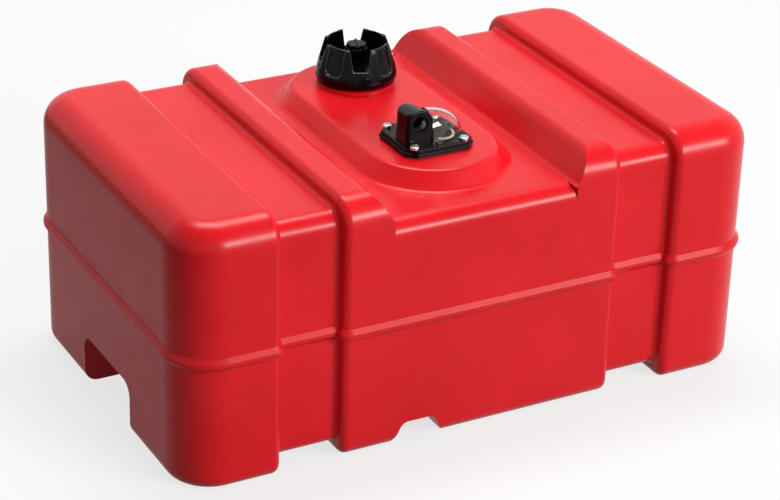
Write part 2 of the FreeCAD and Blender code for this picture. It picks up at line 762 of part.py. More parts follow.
def cap_gasket():
    """Flat ring that seals the cap on the neck's lip."""
    outer = NECK_RADIUS + CAP_THREAD_RUN - CAP_GASKET_RUN
    return tube(FILLER_X, FILLER_Y, CAP_GASKET_BASE, CAP_DISC_BASE, outer, FILLER_BORE_RADIUS)


def vent_knob():
    """Vent knob: a plain skirt, a fluted grip above it and a bar across the top."""
    shoulder = KNOB_BASE + VENT_SKIRT_HEIGHT
    top = KNOB_BASE + VENT_KNOB_HEIGHT
    skirt = cylinder(FILLER_X, FILLER_Y, KNOB_BASE, shoulder, VENT_KNOB_RADIUS)
    skirt = rounded(skirt, VENT_SKIRT_ROUND, lambda p, t: near(p.z, shoulder))
    grip = cylinder(FILLER_X, FILLER_Y, KNOB_BASE, top, VENT_GRIP_RADIUS)
    grip = rounded(grip, VENT_KNOB_ROUND, lambda p, t: near(p.z, top))
    for k in range(VENT_KNOB_FLUTES):
        edge = FILLER_X + VENT_GRIP_RADIUS
        flute = cylinder(edge, FILLER_Y, shoulder, top + 1, VENT_FLUTE_RADIUS)
        grip = grip.cut(turned(flute, CAP_FIRST_SLOT + (k + 0.5) * 360 / VENT_KNOB_FLUTES))
    reach = VENT_GRIP_RADIUS - VENT_KNOB_ROUND
    half = VENT_BAR_WIDTH / 2
    crest = top + VENT_BAR_RISE
    bar = box(FILLER_X - reach, FILLER_X + reach, FILLER_Y - half, FILLER_Y + half, top - 1, crest)
    knob = skirt.fuse([grip, turned(bar, CAP_FIRST_SLOT)]).removeSplitter()
    seat = cylinder(FILLER_X, FILLER_Y, KNOB_BASE - 1, KNOB_BASE + VENT_STEM_SEAT, VENT_STEM_RADIUS)
    return knob.cut(seat)


def vent_stem():
    """Screw stem fixed in the knob, which passes down through the cap."""
    return cylinder(FILLER_X, FILLER_Y, vent_nut_base(), KNOB_BASE + VENT_STEM_SEAT, VENT_STEM_RADIUS)


def vent_nut_base():
    """Lower face of the nut, with the stem's lift above it."""
    return CAP_DISC_BASE - VENT_LIFT_ROOM - VENT_NUT_THICKNESS


def vent_seal():
    """Rubber ring under the knob that closes the vent."""
    return tube(FILLER_X, FILLER_Y, CAP_DISC_TOP, KNOB_BASE, VENT_SEAL_RADIUS, VENT_SEAL_BORE_RADIUS)


def vent_nut():
    """Hexagon nut that stops the stem from being drawn out."""
    foot = vent_nut_base()
    top = foot + VENT_NUT_THICKNESS
    radius = VENT_NUT_ACROSS_FLATS / 2 / math.cos(math.pi / 6)
    corners = [
        (FILLER_X + radius * math.cos(k * math.pi / 3), FILLER_Y + radius * math.sin(k * math.pi / 3))
        for k in range(6)
    ]
    nut = prism_up(corners, foot, top)
    return nut.cut(cylinder(FILLER_X, FILLER_Y, foot - 1, top + 1, VENT_STEM_RADIUS))


def plate_outline(inset):
    """Head plate's outline with cut corners, moved in by inset."""
    half_x = HEAD_LENGTH / 2 - inset
    half_y = HEAD_WIDTH / 2 - inset
    cut = HEAD_CHAMFER - inset * math.tan(math.pi / 8)
    quarter = [(half_x, half_y - cut), (half_x - cut, half_y)]
    points = []
    for sx, sy, order in ((1, 1, 1), (-1, 1, -1), (-1, -1, 1), (1, -1, -1)):
        for px, py in quarter[::order]:
            points.append((HEAD_X + sx * px, HEAD_Y + sy * py))
    return points


def head_gasket():
    """Rubber gasket between the head and the tank."""
    gasket = prism_up(plate_outline(HEAD_GASKET_INSET), PAD_TOP, HEAD_BASE)
    gasket = gasket.cut(cylinder(HEAD_X, HEAD_Y, PAD_TOP - 1, HEAD_BASE + 1, HEAD_OPENING_RADIUS))
    for x, y in screw_places():
        hole = SCREW_RADIUS + SCREW_HOLE_RUN
        gasket = gasket.cut(cylinder(x, y, PAD_TOP - 1, HEAD_BASE + 1, hole))
    return gasket


def tower_outline(reach, z):
    """Tower's outline at height z, its left side at reach from the port's axis."""
    left = PORT_X - reach
    right = TOWER_FLAT_X
    front = PORT_FACE_Y
    back = TOWER_BACK_Y
    near_corner = corner_arc(left, front, TOWER_FRONT_CORNER, 1, z)
    far_corner = corner_arc(left, back, TOWER_BACK_CORNER, -1, z)
    corners = [
        Vector(left + TOWER_FRONT_CORNER, front, z),
        Vector(right, front, z),
        Vector(right, back, z),
        Vector(left + TOWER_BACK_CORNER, back, z),
    ]
    straight = [Part.makeLine(corners[k], corners[k + 1]) for k in range(3)]
    side = Part.makeLine(
        Vector(left, back - TOWER_BACK_CORNER, z), Vector(left, front + TOWER_FRONT_CORNER, z)
    )
    return Part.Wire(straight + [far_corner, side, near_corner])


def corner_arc(left, end_y, radius, inward, z):
    """Quarter arc that rounds the tower's left corner at end_y."""
    share = radius * (1 - math.sqrt(0.5))
    start = Vector(left + radius, end_y, z)
    middle = Vector(left + share, end_y + inward * share, z)
    end = Vector(left, end_y + inward * radius, z)
    return Part.Arc(start, middle, end).toShape()


def port_tower():
    """Tower with a flat port face and a crowned top."""
    foot = HEAD_TOP - 1
    crest = PORT_Z + TOWER_ARCH_RADIUS
    block = Part.makeLoft(
        [tower_outline(TOWER_FOOT_REACH, foot), tower_outline(TOWER_TOP_REACH, crest)], True, True
    )
    return rounded(block.common(tower_crown(foot)), TOWER_EDGE_ROUND, is_tower_top_edge)


def tower_crown(foot):
    """Prism under the tower's top, arched on the right, flatter on the left, falling backwards."""
    right = PORT_X + TOWER_ARCH_RADIUS
    left = PORT_X - TOWER_FOOT_REACH - 1
    crest = PORT_Z + TOWER_ARCH_RADIUS
    slant = TOWER_ARCH_RADIUS * math.sqrt(0.5)
    half_turn = math.asin((PORT_X - left) / TOWER_CROWN_RADIUS) / 2
    middle_x = PORT_X - TOWER_CROWN_RADIUS * math.sin(half_turn)
    middle_z = crest - TOWER_CROWN_RADIUS * (1 - math.cos(half_turn))
    corner_z = crest - TOWER_CROWN_RADIUS * (1 - math.cos(2 * half_turn))
    y0 = PORT_FACE_Y - 1
    shoulder = Vector(right, y0, PORT_Z)
    arch = Vector(PORT_X + slant, y0, PORT_Z + slant)
    apex = Vector(PORT_X, y0, crest)
    corner = Vector(left, y0, corner_z)
    low_left = Vector(left, y0, foot - 1)
    low_right = Vector(right, y0, foot - 1)
    sides = [
        Part.Arc(shoulder, arch, apex).toShape(),
        Part.Arc(apex, Vector(middle_x, y0, middle_z), corner).toShape(),
        Part.makeLine(corner, low_left),
        Part.makeLine(low_left, low_right),
        Part.makeLine(low_right, shoulder),
    ]
    depth = TOWER_DEPTH + 2
    fall = depth * math.tan(math.radians(TOWER_TOP_FALL))
    return Part.Face(Part.Wire(sides)).extrude(Vector(0, depth, -fall))


def is_tower_top_edge(point, along):
    """True on the edges round the tower's top."""
    return point.z > PORT_Z + 1 and not near(point.x, PORT_X)


def level_cylinder(radius, y0, y1):
    """Cylinder on the port's axis from y0 back to y1."""
    return Part.makeCylinder(radius, y1 - y0, Vector(PORT_X, y0, PORT_Z), Vector(0, 1, 0))


def withdrawal_head():
    """Head moulding: stepped plate, spigot into the tank, and the port tower."""
    flange_top = HEAD_BASE + HEAD_FLANGE
    flange = prism_up(plate_outline(0), HEAD_BASE, flange_top)
    plate = prism_up(plate_outline(HEAD_STEP), flange_top, HEAD_TOP)
    head = rounded(flange, HEAD_EDGE_ROUND, lambda p, t: near(p.z, flange_top))
    head = head.fuse(rounded(plate, HEAD_EDGE_ROUND, lambda p, t: near(p.z, HEAD_TOP)))
    inner = HEAD_SPIGOT_RADIUS - HEAD_SPIGOT_WALL
    spigot = tube(HEAD_X, HEAD_Y, SPIGOT_FOOT, HEAD_BASE, HEAD_SPIGOT_RADIUS, inner)
    socket = cylinder(PICKUP_X, PICKUP_Y, SPIGOT_FOOT, HEAD_BASE, PICKUP_RADIUS + PICKUP_SOCKET_WALL)
    head = head.fuse([spigot, socket, port_tower()])
    for x, y in rod_places():
        head = head.fuse(cylinder(x, y, HEAD_BASE - ROD_SOCKET, HEAD_BASE, ROD_RADIUS + ROD_SOCKET_WALL))
    for x, y in screw_places():
        head = head.cut(cylinder(x, y, HEAD_BASE - 1, HEAD_TOP + 1, SCREW_RADIUS + SCREW_HOLE_RUN))
    head = head.cut(level_cylinder(PORT_BUSH_RADIUS, PORT_SEAT_Y, PORT_END_Y))
    head = head.cut(level_cylinder(PORT_LIP_RADIUS, PORT_FACE_Y - 1, PORT_SEAT_Y))
    head = head.cut(level_cylinder(PORT_WAY_RADIUS, PORT_SEAT_Y, PICKUP_Y))
    head = head.cut(cylinder(PICKUP_X, PICKUP_Y, SPIGOT_FOOT - 1, PICKUP_TOP, PICKUP_RADIUS))
    riser_top = PORT_Z + PORT_WAY_RADIUS + 1
    head = head.cut(cylinder(PICKUP_X, PICKUP_Y, PICKUP_TOP - 1, riser_top, PORT_RISER_RADIUS))
    head = head.cut(cylinder(GAUGE_X, GAUGE_Y, HEAD_BASE - 1, HEAD_TOP + 1, GAUGE_BUSH_RADIUS))
    for x, y in rod_places():
        head = head.cut(cylinder(x, y, HEAD_BASE - ROD_SOCKET - 1, HEAD_BASE, ROD_RADIUS))
    return head


def rod_places():
    """Centres of the two rods that guide the float."""
    return [(GAUGE_X, GAUGE_Y - ROD_SPREAD), (GAUGE_X, GAUGE_Y + ROD_SPREAD)]


def port_bush():
    """Metal bush with the fuel port's thread, moulded into the tower behind its lip."""
    bush = level_cylinder(PORT_BUSH_RADIUS, PORT_SEAT_Y, PORT_END_Y)
    bush = bush.cut(level_cylinder(PORT_BORE_RADIUS, PORT_SEAT_Y, PORT_SEAT_Y + PORT_BORE_DEPTH))
    bush = bush.cut(level_cylinder(PORT_WAY_RADIUS, PORT_SEAT_Y, PORT_END_Y))
    start = Vector(PORT_X, PORT_SEAT_Y, PORT_Z)
    return bush.cut(Part.makeCone(PORT_LIP_RADIUS, PORT_BORE_RADIUS, PORT_CHAMFER, start, Vector(0, 1, 0)))


def head_screws():
    """Four pan head screws with a straight slot."""
    screws = []
    for x, y in screw_places():
        top = HEAD_TOP + SCREW_HEAD_HEIGHT
        head = cylinder(x, y, HEAD_TOP, top, SCREW_HEAD_RADIUS)
        head = rounded(head, SCREW_HEAD_ROUND, lambda p, t: near(p.z, top))
        shank = cylinder(x, y, HEAD_TOP - SCREW_LENGTH, HEAD_TOP, SCREW_RADIUS)
        half = SCREW_SLOT_WIDTH / 2
        reach = SCREW_HEAD_RADIUS + 1
        slot = box(x - reach, x + reach, y - half, y + half, top - SCREW_SLOT_DEPTH, top + 1)
        screws.append(head.fuse(shank).cut(slot).removeSplitter())
    return Part.makeCompound(screws)


def screw_inserts():
    """Four brass inserts moulded into the pad under the screws."""
    inserts = []
    for x, y in screw_places():
        inserts.append(tube(x, y, insert_foot(), PAD_TOP, INSERT_RADIUS, SCREW_RADIUS + THREAD_RUN))
    return Part.makeCompound(inserts)


def lens_form(inset):
    """Half of a long dome whose flat side stands against the tower."""
    radius = LENS_HEIGHT - inset
    ball = Part.makeSphere(radius, Vector(0, 0, 0))
    stretch = FreeCAD.Matrix()
    stretch.A11 = (LENS_LENGTH - inset) / radius
    stretch.A22 = (LENS_HALF_WIDTH - inset) / radius
    dome = ball.transformGeometry(stretch)
    dome.translate(Vector(TOWER_FLAT_X + LENS_SIDE_RUN, GAUGE_Y, HEAD_TOP))
    return dome


def sight_lens():
    """Clear cover over the gauge."""
    flat = TOWER_FLAT_X + LENS_SIDE_RUN
    far = flat + 2 * LENS_LENGTH
    high = HEAD_TOP + 2 * LENS_HEIGHT
    shell = lens_form(0).common(box(flat, far, -HALF_WIDTH, 0, HEAD_TOP, high))
    hollow = box(flat + LENS_WALL, far, -HALF_WIDTH, 0, HEAD_TOP - 1, high)
    return shell.cut(lens_form(LENS_WALL).common(hollow))


def gauge_bush():
    """Bearing bush for the gauge's spindle, fixed in the head."""
    top = HEAD_TOP + GAUGE_BUSH_RISE
    return tube(GAUGE_X, GAUGE_Y, HEAD_BASE, top, GAUGE_BUSH_RADIUS, SPINDLE_RADIUS + SPINDLE_RUN)


def twist_strip():
    """Flat strip twisted about its length, with a spindle above and a pivot below."""
    low = FOOT_PLATE_TOP + STRIP_FOOT_GAP
    high = HEAD_BASE - STRIP_FOOT_GAP
    turn = STRIP_TURN / FLOAT_TRAVEL * (high - low)
    half_w = STRIP_WIDTH / 2
    half_t = STRIP_THICKNESS / 2
    sections = []
    for k in range(STRIP_FACETS + 1):
        share = k / STRIP_FACETS
        angle = math.radians(turn * share + strip_start(low))
        z = low + (high - low) * share
        corners = [(-half_w, -half_t), (half_w, -half_t), (half_w, half_t), (-half_w, half_t)]
        ring = [
            Vector(
                GAUGE_X + u * math.cos(angle) - v * math.sin(angle),
                GAUGE_Y + u * math.sin(angle) + v * math.cos(angle),
                z,
            )
            for u, v in corners
        ]
        sections.append(Part.makePolygon(ring + ring[:1]))
    strip = Part.makeLoft(sections, True, True)
    top = HEAD_TOP + GAUGE_BUSH_RISE + CONE_GAP + CONE_HEIGHT / 2
    spindle = cylinder(GAUGE_X, GAUGE_Y, high - 1, top, SPINDLE_RADIUS)
    pivot = cylinder(GAUGE_X, GAUGE_Y, FOOT_PLATE_TOP - PIVOT_DEPTH, low + 1, PIVOT_RADIUS)
    return strip.fuse([spindle, pivot]).removeSplitter()


def strip_start(z):
    """Angle of the strip at height z; it lies along X where the follower rests."""
    return STRIP_TURN / FLOAT_TRAVEL * (z - follower_middle())


def follower_middle():
    """Height of the follower's middle with the float at rest."""
    return FLOAT_TOP - FOLLOWER_THICKNESS / 2


def gauge_cone():
    """Dark cone on the spindle, with a fin that points at the dial."""
    foot = HEAD_TOP + GAUGE_BUSH_RISE + CONE_GAP
    top = foot + CONE_HEIGHT
    body = cone(GAUGE_X, GAUGE_Y, foot, top, CONE_RADIUS, CONE_TIP_RADIUS)
    half = POINTER_FIN / 2
    middle = foot + CONE_HEIGHT / 2
    fin = box(GAUGE_X, GAUGE_X + CONE_RADIUS, GAUGE_Y - half, GAUGE_Y + half, foot, middle)
    body = body.fuse(fin).removeSplitter()
    return body.cut(cylinder(GAUGE_X, GAUGE_Y, foot - 1, middle, SPINDLE_RADIUS))


def gauge_dial():
    """Pale arc fixed round the cone's foot, against which the level is read."""
    inner = CONE_RADIUS + DIAL_INNER_GAP
    outer = inner + DIAL_WIDTH
    arc = tube(GAUGE_X, GAUGE_Y, HEAD_TOP, HEAD_TOP + DIAL_THICKNESS, outer, inner)
    open_half = math.radians(360 - DIAL_ARC) / 2
    reach = 2 * outer
    wedge = [
        (GAUGE_X, GAUGE_Y),
        (GAUGE_X - reach, GAUGE_Y + reach * math.tan(open_half)),
        (GAUGE_X - reach, GAUGE_Y - reach * math.tan(open_half)),
    ]
    return arc.cut(prism_up(wedge, HEAD_TOP - 1, HEAD_TOP + DIAL_THICKNESS + 1))


def guide_rods():
    """Two rods on which the float slides."""
    rods = [cylinder(x, y, FOOT_PLATE_BASE, HEAD_BASE, ROD_RADIUS) for x, y in rod_places()]
    return Part.makeCompound(rods)


def foot_plate():
    """Plate at the rods' lower ends with the strip's pivot hole."""
    y0 = GAUGE_Y - FOOT_PLATE_LENGTH / 2 + FOOT_PLATE_WIDTH / 2
    y1 = GAUGE_Y + FOOT_PLATE_LENGTH / 2 - FOOT_PLATE_WIDTH / 2
    plate = stadium_prism(GAUGE_X, y0, y1, FOOT_PLATE_WIDTH / 2, FOOT_PLATE_BASE, FOOT_PLATE_TOP)
    hole = PIVOT_RADIUS + PIVOT_RUN
    plate = plate.cut(cylinder(GAUGE_X, GAUGE_Y, FOOT_PLATE_TOP - PIVOT_DEPTH, FOOT_PLATE_TOP + 1, hole))
    for x, y in rod_places():
        plate = plate.cut(cylinder(x, y, FOOT_PLATE_BASE - 1, FOOT_PLATE_TOP + 1, ROD_RADIUS))
    return plate


def gauge_float():
    """Oval float with a well for the strip and a hole for each rod."""
    y0 = GAUGE_Y - FLOAT_LENGTH / 2 + FLOAT_WIDTH / 2
    y1 = GAUGE_Y + FLOAT_LENGTH / 2 - FLOAT_WIDTH / 2
    body = stadium_prism(GAUGE_X, y0, y1, FLOAT_WIDTH / 2, FLOAT_BASE, FLOAT_TOP)
    body = rounded(body, FLOAT_ROUND, lambda p, t: near(p.z, FLOAT_BASE))
    body = body.cut(cylinder(GAUGE_X, GAUGE_Y, FLOAT_BASE - 1, FLOAT_TOP + 1, FLOAT_WELL_RADIUS))
    recess = FLOAT_TOP - FOLLOWER_THICKNESS
    body = body.cut(cylinder(GAUGE_X, GAUGE_Y, recess, FLOAT_TOP + 1, FOLLOWER_RADIUS))
    for x, y in rod_places():
        body = body.cut(cylinder(x, y, FLOAT_BASE - 1, FLOAT_TOP + 1, ROD_RADIUS + ROD_RUN))
    return body


def strip_follower():
    """Slotted disc in the float that turns the twisted strip."""
    disc = cylinder(GAUGE_X, GAUGE_Y, FLOAT_TOP - FOLLOWER_THICKNESS, FLOAT_TOP, FOLLOWER_RADIUS)
    half_w = STRIP_WIDTH / 2 + FOLLOWER_SLOT_RUN
    half_t = STRIP_THICKNESS / 2 + FOLLOWER_SLOT_RUN
    slot = box(
        GAUGE_X - half_w,
        GAUGE_X + half_w,
        GAUGE_Y - half_t,
        GAUGE_Y + half_t,
        FLOAT_TOP - FOLLOWER_THICKNESS - 1,
        FLOAT_TOP + 1,
    )
    return disc.cut(slot)


def pickup_tube():
    """Tube that draws the fuel up to the port."""
    return tube(PICKUP_X, PICKUP_Y, PICKUP_FOOT, PICKUP_TOP, PICKUP_RADIUS, PICKUP_BORE_RADIUS)


def pickup_strainer():
    """Strainer cup with window slots, pushed on the pickup tube's end."""
    cup = cylinder(PICKUP_X, PICKUP_Y, STRAINER_FOOT, STRAINER_TOP, STRAINER_RADIUS)
    inner = STRAINER_RADIUS - STRAINER_WALL
    cup = cup.cut(cylinder(PICKUP_X, PICKUP_Y, STRAINER_FOOT + STRAINER_FLOOR, PICKUP_FOOT, inner))
    cup = cup.cut(cylinder(PICKUP_X, PICKUP_Y, PICKUP_FOOT - 1, STRAINER_TOP + 1, PICKUP_RADIUS))
    half = STRAINER_WINDOW_WIDTH / 2
    low = STRAINER_FOOT + STRAINER_WINDOW_MARGIN
    high = PICKUP_FOOT - STRAINER_WINDOW_MARGIN
    far = PICKUP_X + 2 * STRAINER_RADIUS
    for k in range(STRAINER_WINDOWS):
        window = box(PICKUP_X, far, PICKUP_Y - half, PICKUP_Y + half, low, high)
        window.rotate(Vector(PICKUP_X, PICKUP_Y, 0), Vector(0, 0, 1), k * 360 / STRAINER_WINDOWS)
        cup = cup.cut(window)
    return cup


PARTS = {
    "tank_shell": tank_shell,
    "filler_neck": filler_neck,
    "cap_crown": cap_crown,
    "cap_disc": cap_disc,
    "cap_gasket": cap_gasket,
    "vent_knob": vent_knob,
    "vent_stem": vent_stem,
    "vent_seal": vent_seal,
    "vent_nut": vent_nut,
    "head_gasket": head_gasket,
    "withdrawal_head": withdrawal_head,
    "port_bush": port_bush,
    "head_screws": head_screws,
    "screw_inserts": screw_inserts,
    "sight_lens": sight_lens,
    "gauge_bush": gauge_bush,
    "twist_strip": twist_strip,
    "gauge_cone": gauge_cone,
    "gauge_dial": gauge_dial,
    "guide_rods": guide_rods,
    "foot_plate": foot_plate,
    "gauge_float": gauge_float,
    "strip_follower": strip_follower,
    "pickup_tube": pickup_tube,
    "pickup_strainer": pickup_strainer,
}


def main():
    """Build every piece and write one STEP file for each."""
    os.makedirs(OUT, exist_ok=True)
    for name, make in PARTS.items():
        shape = make()
        shape.exportStep(os.path.join(OUT, name + ".step"))
        print(name, "solids", len(shape.Solids), "volume", round(shape.Volume), "valid", shape.isValid())


main()
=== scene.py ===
"""Looks of the portable outboard fuel tank: its finishes, its fine parts and a plain studio."""

import logging
import math
from dataclasses import dataclass
from enum import Enum
from typing import Any

import bmesh
import bpy
from mathutils import Matrix, Vector

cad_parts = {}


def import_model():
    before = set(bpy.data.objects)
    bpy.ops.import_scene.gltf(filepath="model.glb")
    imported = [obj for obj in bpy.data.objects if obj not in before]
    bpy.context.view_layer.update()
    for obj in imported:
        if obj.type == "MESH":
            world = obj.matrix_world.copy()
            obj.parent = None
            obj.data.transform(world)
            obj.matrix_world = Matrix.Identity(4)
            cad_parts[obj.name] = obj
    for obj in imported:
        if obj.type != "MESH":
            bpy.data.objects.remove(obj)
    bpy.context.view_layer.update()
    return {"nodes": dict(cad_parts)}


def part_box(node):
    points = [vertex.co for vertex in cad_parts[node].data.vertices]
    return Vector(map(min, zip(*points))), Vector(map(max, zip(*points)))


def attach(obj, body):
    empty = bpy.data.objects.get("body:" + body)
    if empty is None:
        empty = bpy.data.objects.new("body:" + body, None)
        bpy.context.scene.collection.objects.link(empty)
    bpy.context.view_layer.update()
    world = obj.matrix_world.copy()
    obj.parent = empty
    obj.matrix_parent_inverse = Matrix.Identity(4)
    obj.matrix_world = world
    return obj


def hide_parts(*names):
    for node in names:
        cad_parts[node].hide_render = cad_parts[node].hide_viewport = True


LOG = logging.getLogger("fuel_tank")

MM = 0.001
PHOTO_WIDTH = 780
PATTERN_LOW = 0.3
PATTERN_HIGH = 0.7


class Body(Enum):
    """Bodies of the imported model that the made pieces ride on."""

    TANK = "tank"
    CAP = "cap"


def linear(hex_colour: str) -> tuple[float, float, float, float]:
    """Turn an sRGB hex colour into a linear one.

    Args:
        hex_colour: Colour as "#RRGGBB".

    Returns:
        Red, green, blue and an alpha of one.
    """
    channels = []
    for start in (1, 3, 5):
        value = int(hex_colour[start : start + 2], 16) / 255
        channels.append(value / 12.92 if value <= 0.04045 else ((value + 0.055) / 1.055) ** 2.4)
    return (channels[0], channels[1], channels[2], 1.0)


def add_node(
    tree: bpy.types.NodeTree,
    kind: str,
    settings: dict[str, Any] | None = None,
    inputs: dict[Any, Any] | None = None,
) -> bpy.types.Node:
    """Add a node with its settings, socket values and links.

    Args:
        tree: Node tree that takes the node.
        kind: Blender's name of the node's type.
        settings: Properties to set on the node.
        inputs: Value, or socket to link from, for each input socket.

    Returns:
        The new node.
    """
    node = tree.nodes.new(kind)
    for name, value in (settings or {}).items():
        setattr(node, name, value)
    for key, value in (inputs or {}).items():
        if isinstance(value, bpy.types.NodeSocket):
            tree.links.new(value, node.inputs[key])
        else:
            node.inputs[key].default_value = value
    return node


@dataclass(frozen=True)
class Finish:
    """One material: its name, its colour and how it takes the light."""

    name: str
    colour: str
    roughness: float

    def start(self) -> tuple[bpy.types.Material, bpy.types.NodeTree, bpy.types.Node]:
        """Make an empty material with a principled shader.

        Returns:
            The material, its node tree and its shader node.
        """
        material = bpy.data.materials.new(self.name)
        material.use_nodes = True
        material.diffuse_color = linear(self.colour)
        tree = material.node_tree
        tree.nodes.clear()
        shader = add_node(
            tree,
            "ShaderNodeBsdfPrincipled",
            inputs={"Base Color": linear(self.colour), "Roughness": self.roughness},
        )
        add_node(tree, "ShaderNodeOutputMaterial", inputs={"Surface": shader.outputs["BSDF"]})
        return material, tree, shader

    def place(self, tree: bpy.types.NodeTree) -> bpy.types.NodeSocket:
        """Object coordinates, in metres."""
        return add_node(tree, "ShaderNodeTexCoord").outputs["Object"]

    def noise(
        self,
        tree: bpy.types.NodeTree,
        size_mm: float,
        detail: float = 2.0,
        stretch: tuple = (1, 1, 1),
    ) -> bpy.types.NodeSocket:
        """Add a noise pattern of a real size.

        Args:
            tree: Node tree that takes the pattern.
            size_mm: Size of one blotch of the pattern, in millimetres.
            detail: Blender's noise detail.
            stretch: How many times longer the blotches are along each axis.

        Returns:
            The pattern's socket, from 0 to 1.
        """
        scale = [1 / along for along in stretch]
        mapping = add_node(
            tree, "ShaderNodeMapping", inputs={"Vector": self.place(tree), "Scale": scale}
        )
        pattern = add_node(
            tree,
            "ShaderNodeTexNoise",
            inputs={"Vector": mapping.outputs[0], "Scale": 1 / (size_mm * MM), "Detail": detail},
        )
        return pattern.outputs["Fac"]

    def spread(
        self, tree: bpy.types.NodeTree, value: bpy.types.NodeSocket, low: float, high: float
    ) -> bpy.types.NodeSocket:
        """Map a pattern from 0..1 onto low..high.

        Args:
            tree: Node tree that takes the node.
            value: Pattern to map.
            low: Result where the pattern is at its low end.
            high: Result where the pattern is at its high end.

        Returns:
            The mapped value's socket.
        """
        ranged = add_node(
            tree,
            "ShaderNodeMapRange",
            inputs={
                "Value": value,
                "From Min": PATTERN_LOW,
                "From Max": PATTERN_HIGH,
                "To Min": low,
                "To Max": high,
            },
        )
        return ranged.outputs["Result"]

    def blend_colour(
        self, tree: bpy.types.NodeTree, share: bpy.types.NodeSocket, first: str, second: str
    ) -> bpy.types.NodeSocket:
        """Mix two sRGB hex colours by a pattern.

        Args:
            tree: Node tree that takes the node.
            share: Pattern that goes from the first colour to the second.
            first: Colour where the pattern is low.
            second: Colour where the pattern is high.

        Returns:
            The mixed colour's socket.
        """
        ramp = add_node(tree, "ShaderNodeValToRGB", inputs={"Fac": share})
        ramp.color_ramp.elements[0].position = PATTERN_LOW
        ramp.color_ramp.elements[1].position = PATTERN_HIGH
        ramp.color_ramp.elements[0].color = linear(first)
        ramp.color_ramp.elements[1].color = linear(second)
        return ramp.outputs["Color"]

    def bump(
        self,
        tree: bpy.types.NodeTree,
        shader: bpy.types.Node,
        height: bpy.types.NodeSocket,
        depth_mm: float,
        strength: float = 1.0,
    ) -> None:
        """Dent the shading by a pattern.

        Args:
            tree: Node tree that takes the node.
            shader: Shader whose normal is dented.
            height: Pattern of heights from 0 to 1.
            depth_mm: Height of a pattern value of one, in millimetres.
            strength: Share of the dent that shows.
        """
        node = add_node(
            tree,
            "ShaderNodeBump",
            inputs={"Height": height, "Distance": depth_mm * MM, "Strength": strength},
        )
        tree.links.new(node.outputs["Normal"], shader.inputs["Normal"])


@dataclass(frozen=True)
class BlowMouldedPolyethylene(Finish):
    """Red high-density polyethylene, blow moulded: a waxy satin skin with a faint orange peel."""

    dark: str = "#CD0F19"
    light: str = "#D8161F"
    peel_mm: float = 2.2
    peel_depth_mm: float = 0.012
    gloss: float = 0.25

    def make(self) -> bpy.types.Material:
        """Build the material."""
        material, tree, shader = self.start()
        shader.inputs["Specular IOR Level"].default_value = self.gloss
        drift = self.noise(tree, 90.0, detail=3.0)
        colour = self.blend_colour(tree, drift, self.dark, self.light)
        tree.links.new(colour, shader.inputs["Base Color"])
        rough = self.spread(
            tree, self.noise(tree, 30.0), self.roughness - 0.03, self.roughness + 0.03
        )
        tree.links.new(rough, shader.inputs["Roughness"])
        self.bump(tree, shader, self.noise(tree, self.peel_mm), self.peel_depth_mm, 0.5)
        return material


@dataclass(frozen=True)
class MouldedNylon(Finish):
    """Glass-filled nylon, injection moulded: near black, satin, with a fine spark-eroded grain."""

    grain_mm: float = 0.6
    grain_depth_mm: float = 0.01
    gloss: float = 0.13

    def make(self) -> bpy.types.Material:
        """Build the material."""
        material, tree, shader = self.start()
        shader.inputs["Specular IOR Level"].default_value = self.gloss
        rough = self.spread(
            tree, self.noise(tree, 6.0), self.roughness - 0.05, self.roughness + 0.05
        )
        tree.links.new(rough, shader.inputs["Roughness"])
        self.bump(tree, shader, self.noise(tree, self.grain_mm), self.grain_depth_mm, 0.5)
        return material


@dataclass(frozen=True)
class Rubber(Finish):
    """Nitrile rubber, moulded: dead matt black with a dusty bloom."""

    def make(self) -> bpy.types.Material:
        """Build the material."""
        material, tree, shader = self.start()
        bloom = self.blend_colour(tree, self.noise(tree, 4.0), self.colour, "#26262A")
        tree.links.new(bloom, shader.inputs["Base Color"])
        self.bump(tree, shader, self.noise(tree, 0.5), 0.03, 0.5)
        return material


@dataclass(frozen=True)
class TurnedMetal(Finish):
    """Turned or drawn metal: fine tool lines, bright where the lamps catch them."""

    line_mm: float = 0.25

    def make(self) -> bpy.types.Material:
        """Build the material."""
        material, tree, shader = self.start()
        shader.inputs["Metallic"].default_value = 1.0
        lines = self.noise(tree, self.line_mm, stretch=(12, 12, 1))
        rough = self.spread(tree, lines, self.roughness - 0.06, self.roughness + 0.08)
        tree.links.new(rough, shader.inputs["Roughness"])
        self.bump(tree, shader, lines, 0.006, 0.4)
        return material


@dataclass(frozen=True)
class ClearPlastic(Finish):
    """Clear polycarbonate, injection moulded: glassy with a trace of flow haze."""

    haze: float = 0.05
    ior: float = 1.45

    def make(self) -> bpy.types.Material:
        """Build the material."""
        material, tree, shader = self.start()
        shader.inputs["Transmission Weight"].default_value = 1.0
        shader.inputs["IOR"].default_value = self.ior
        rough = self.spread(
            tree, self.noise(tree, 5.0), self.roughness, self.roughness + self.haze
        )
        tree.links.new(rough, shader.inputs["Roughness"])
        return material


@dataclass(frozen=True)
class PalePlastic(Finish):
    """Acetal or nylon, moulded in a pale colour: satin, faintly uneven in tone."""

    shade: str = "#CFC7B0"

    def make(self) -> bpy.types.Material:
        """Build the material."""
        material, tree, shader = self.start()
        tone = self.blend_colour(tree, self.noise(tree, 8.0), self.shade, self.colour)
        tree.links.new(tone, shader.inputs["Base Color"])
        self.bump(tree, shader, self.noise(tree, 0.8), 0.02, 0.4)
        return material


